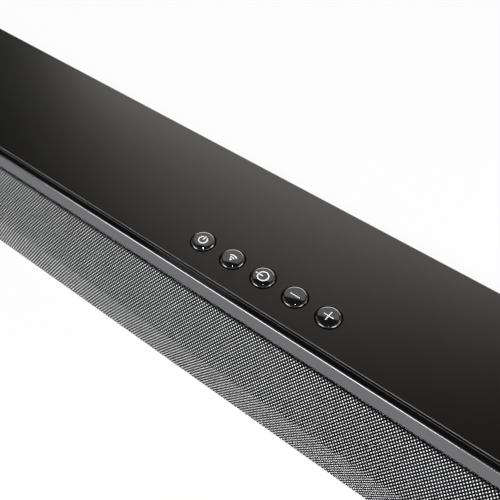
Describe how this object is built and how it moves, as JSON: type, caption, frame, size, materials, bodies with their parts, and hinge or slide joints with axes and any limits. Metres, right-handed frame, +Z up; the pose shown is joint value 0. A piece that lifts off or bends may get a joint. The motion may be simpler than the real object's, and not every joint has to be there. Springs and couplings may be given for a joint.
{
  "type": "soundbar",
  "caption": "Slim soundbar with a satin deck, gloss strip, grey bezel and leaning cloth front, push buttons on the deck, drivers and boards inside, sockets and wall hangers at the back.",
  "frame": {"origin": "middle of the bar's bounding box at the level the rubber feet stand on", "axes": "+X along the bar to the right seen from the front, -Y the cloth front, +Z up through the deck"},
  "size_m": [0.91, 0.0958, 0.0604],
  "materials": {
    "deck_satin": "fine satin black moulding",
    "gloss_black": "piano black gloss",
    "bezel_grey": "satin grey paint with a polished edge",
    "case_black": "fine grained black moulding",
    "inner_black": "plain black moulding",
    "grille_cloth": "coarse two-tone woven cloth",
    "rubber": "soft matte rubber",
    "screw_steel": "black zinc plated steel",
    "bright_steel": "zinc plated steel",
    "brass": "turned brass",
    "cone_paper": "pressed black paper",
    "surround_rubber": "butyl rubber",
    "coil_copper": "enamelled copper wire",
    "magnet_dark": "ferrite between zinc plated plates",
    "dome_silk": "coated silk",
    "board_green": "green solder mask",
    "chip_black": "epoxy package",
    "aluminium": "extruded, bead blasted",
    "can_blue": "printed sleeve on an aluminium can",
    "winding_yellow": "taped winding on a ferrite core"
  },
  "bodies": {
    "housing": {"amplifier_chip": "chip_black", "bass_ports": "inner_black", "board_capacitors": "can_blue", "board_screws": "bright_steel", "bottom_cabinet": "case_black", "bracket_inserts": "brass", "button_board": "board_green", "button_board_screws": "screw_steel", "button_guide": "inner_black", "button_switches": "chip_black", "case_screws": "screw_steel", "driver_screws": "screw_steel", "front_baffle": "inner_black", "front_bezel": "bezel_grey", "grille_cloth": "grille_cloth", "grille_frame": "inner_black", "heat_sink": "aluminium", "left_end_cap": "case_black", "left_woofer_surround": "surround_rubber", "line_in_jack": "inner_black", "main_board": "board_green", "mains_transformer": "winding_yellow", "optical_socket": "inner_black", "power_inlet": "inner_black", "power_inlet_pins": "bright_steel", "power_panel": "case_black", "power_supply_board": "board_green", "processor_chip": "chip_black", "rear_side_panels": "case_black", "right_end_cap": "case_black", "right_woofer_surround": "surround_rubber", "rubber_feet": "rubber", "socket_panel": "case_black", "supply_capacitors": "can_blue", "top_panel": "deck_satin", "trim_strip": "gloss_black", "tweeter_bodies": "inner_black", "video_socket": "bright_steel", "wall_hanger_plates": "bright_steel", "wireless_module": "bright_steel", "woofer_baskets": "inner_black", "woofer_magnets": "magnet_dark"},
    "power_button_body": {"power_button": "gloss_black", "power_switch_plunger": "chip_black"},
    "pairing_button_body": {"pairing_button": "gloss_black", "pairing_switch_plunger": "chip_black"},
    "source_button_body": {"source_button": "gloss_black", "source_switch_plunger": "chip_black"},
    "volume_down_button_body": {"volume_down_button": "gloss_black", "volume_down_switch_plunger": "chip_black"},
    "volume_up_button_body": {"volume_up_button": "gloss_black", "volume_up_switch_plunger": "chip_black"},
    "left_cone_body": {"left_woofer_cone": "cone_paper", "left_voice_coil": "coil_copper"},
    "left_dome_body": {"left_tweeter_dome": "dome_silk"},
    "right_cone_body": {"right_woofer_cone": "cone_paper", "right_voice_coil": "coil_copper"},
    "right_dome_body": {"right_tweeter_dome": "dome_silk"}
  },
  "joints": [
    {"name": "power_press", "type": "slide", "parent": "housing", "child": "power_button_body", "axis": [0, 0, -1], "range_m": [0, 0.0005], "stiffness_N_per_m": 900},
    {"name": "pairing_press", "type": "slide", "parent": "housing", "child": "pairing_button_body", "axis": [0, 0, -1], "range_m": [0, 0.0005], "stiffness_N_per_m": 900},
    {"name": "source_press", "type": "slide", "parent": "housing", "child": "source_button_body", "axis": [0, 0, -1], "range_m": [0, 0.0005], "stiffness_N_per_m": 900},
    {"name": "volume_down_press", "type": "slide", "parent": "housing", "child": "volume_down_button_body", "axis": [0, 0, -1], "range_m": [0, 0.0005], "stiffness_N_per_m": 900},
    {"name": "volume_up_press", "type": "slide", "parent": "housing", "child": "volume_up_button_body", "axis": [0, 0, -1], "range_m": [0, 0.0005], "stiffness_N_per_m": 900},
    {"name": "left_cone_stroke", "type": "slide", "parent": "housing", "child": "left_cone_body", "axis": [0, -0.9198, 0.3923], "range_m": [-0.002, 0.002], "stiffness_N_per_m": 1500, "deforming": ["left_woofer_surround"]},
    {"name": "left_dome_stroke", "type": "slide", "parent": "housing", "child": "left_dome_body", "axis": [0, -0.9198, 0.3923], "range_m": [-0.0003, 0.0003], "stiffness_N_per_m": 1500},
    {"name": "right_cone_stroke", "type": "slide", "parent": "housing", "child": "right_cone_body", "axis": [0, -0.9198, 0.3923], "range_m": [-0.002, 0.002], "stiffness_N_per_m": 1500, "deforming": ["right_woofer_surround"]},
    {"name": "right_dome_stroke", "type": "slide", "parent": "housing", "child": "right_dome_body", "axis": [0, -0.9198, 0.3923], "range_m": [-0.0003, 0.0003], "stiffness_N_per_m": 1500}
  ]
}
